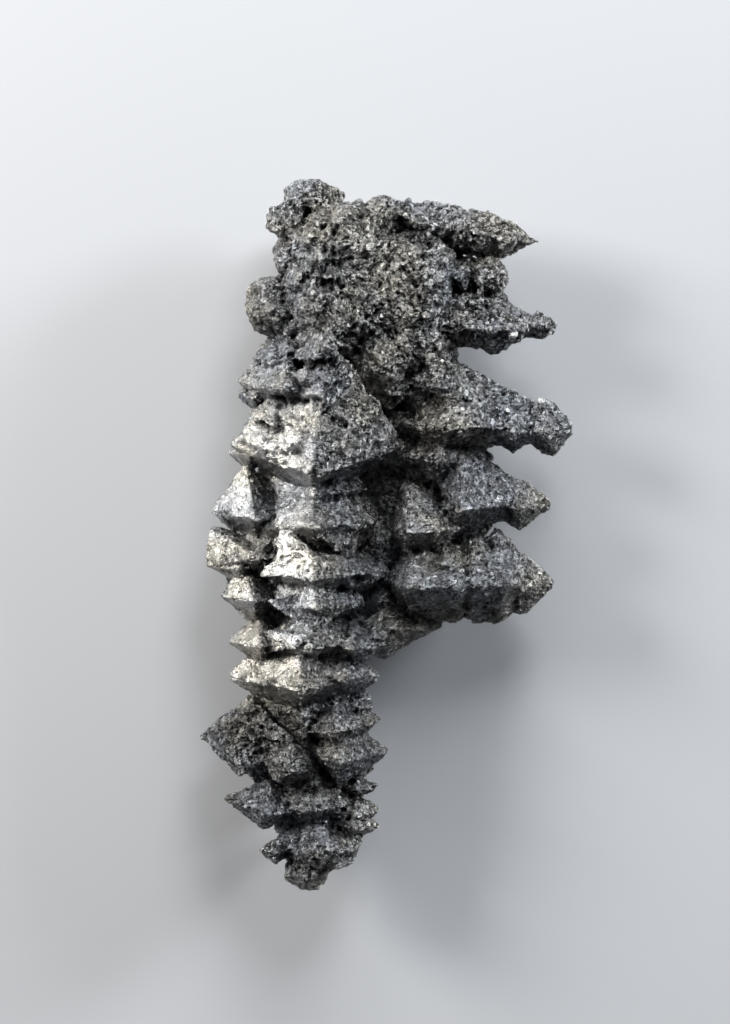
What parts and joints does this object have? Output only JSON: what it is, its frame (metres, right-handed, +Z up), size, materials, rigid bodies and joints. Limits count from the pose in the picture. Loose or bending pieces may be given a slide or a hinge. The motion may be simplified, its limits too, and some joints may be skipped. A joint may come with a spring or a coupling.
{
  "type": "acanthite specimen",
  "caption": "Dark metallic cluster of stacked octahedral crystals with sideways fingers, lying on flat contact faces at its back.",
  "frame": {"origin": "bottom centre of the box, on the plane the group rests on", "axes": "+Z up, out of the show side; +Y along the column from its thin end to its head; +X towards the side fingers"},
  "size_m": [0.0374, 0.0712, 0.0154],
  "materials": {
    "acanthite": "dark lead-grey metallic crystal faces, rough and sparkling"
  },
  "bodies": {
    "root": {"acanthite_cluster": "acanthite"}
  },
  "joints": []
}
